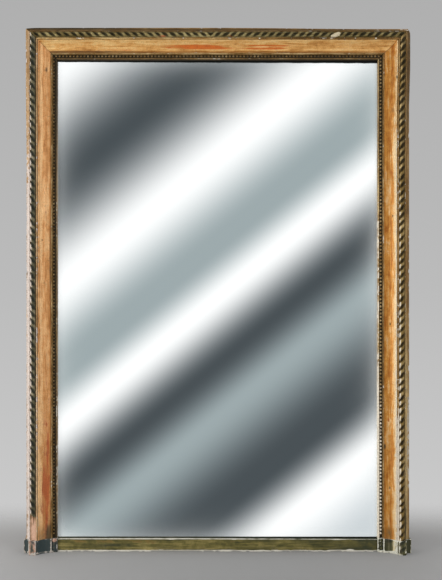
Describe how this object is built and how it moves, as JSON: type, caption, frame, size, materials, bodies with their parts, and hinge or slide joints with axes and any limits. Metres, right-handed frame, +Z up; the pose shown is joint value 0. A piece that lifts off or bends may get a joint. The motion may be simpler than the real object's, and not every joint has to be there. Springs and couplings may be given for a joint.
{
  "type": "trumeau mirror",
  "caption": "Tall overmantel mirror in a gilded frame with a twisted rope, a wide cove and a string of pearls, on a low plinth, with a framed and panelled back.",
  "frame": {"origin": "on the floor, in the middle of the overall width and depth", "axes": "+X to the viewer's right, +Y out of the back, towards the wall, +Z up; the mirror faces -Y"},
  "size_m": [1.252, 0.081, 1.698],
  "materials": {
    "aged_pine": "dry, darkened with age",
    "pale_pine": "dry, planed",
    "peg_oak": "dry",
    "forged_iron": "hammered and rusted",
    "felt": "matt",
    "silvered_glass": "old silvered plate",
    "edge_gilding": "gilding worn to gesso and wood",
    "cove_gilding": "worn satin gilding over red bole",
    "dark_gilding": "darkened gilding",
    "rope_gilding": "darkened gilding",
    "plinth_paint": "olive, chipped to the gesso"
  },
  "bodies": {
    "root": {"back_stile_left": "aged_pine", "back_stile_right": "aged_pine", "back_muntin_lower": "aged_pine", "back_muntin_middle": "aged_pine", "back_muntin_upper": "aged_pine", "back_bottom_rail": "aged_pine", "back_lower_rail": "aged_pine", "back_upper_rail": "aged_pine", "back_top_rail": "aged_pine", "front_core_left": "aged_pine", "front_core_right": "aged_pine", "front_core_top": "aged_pine", "corner_keys": "aged_pine", "back_panel_lower_left": "pale_pine", "back_panel_lower_right": "pale_pine", "back_panel_middle_left": "pale_pine", "back_panel_middle_right": "pale_pine", "back_panel_upper_left": "pale_pine", "back_panel_upper_right": "pale_pine", "back_pegs": "peg_oak", "glass_seats": "peg_oak", "hanging_plate_left": "forged_iron", "hanging_plate_right": "forged_iron", "hanging_plate_nails": "forged_iron", "back_nails": "forged_iron", "glass_packing": "felt", "mirror_plate": "silvered_glass", "outer_moulding_left": "edge_gilding", "outer_moulding_right": "edge_gilding", "outer_moulding_top": "edge_gilding", "cove_moulding_left": "cove_gilding", "cove_moulding_right": "cove_gilding", "cove_moulding_top": "cove_gilding", "bead_moulding_left": "dark_gilding", "bead_moulding_right": "dark_gilding", "bead_moulding_top": "dark_gilding", "pearls_left": "dark_gilding", "pearls_right": "dark_gilding", "pearls_top": "dark_gilding", "rope_left": "rope_gilding", "rope_right": "rope_gilding", "rope_top_left": "rope_gilding", "rope_top_right": "rope_gilding", "plinth_rail": "plinth_paint", "plinth_block_left": "plinth_paint", "plinth_block_right": "plinth_paint"}
  },
  "joints": []
}
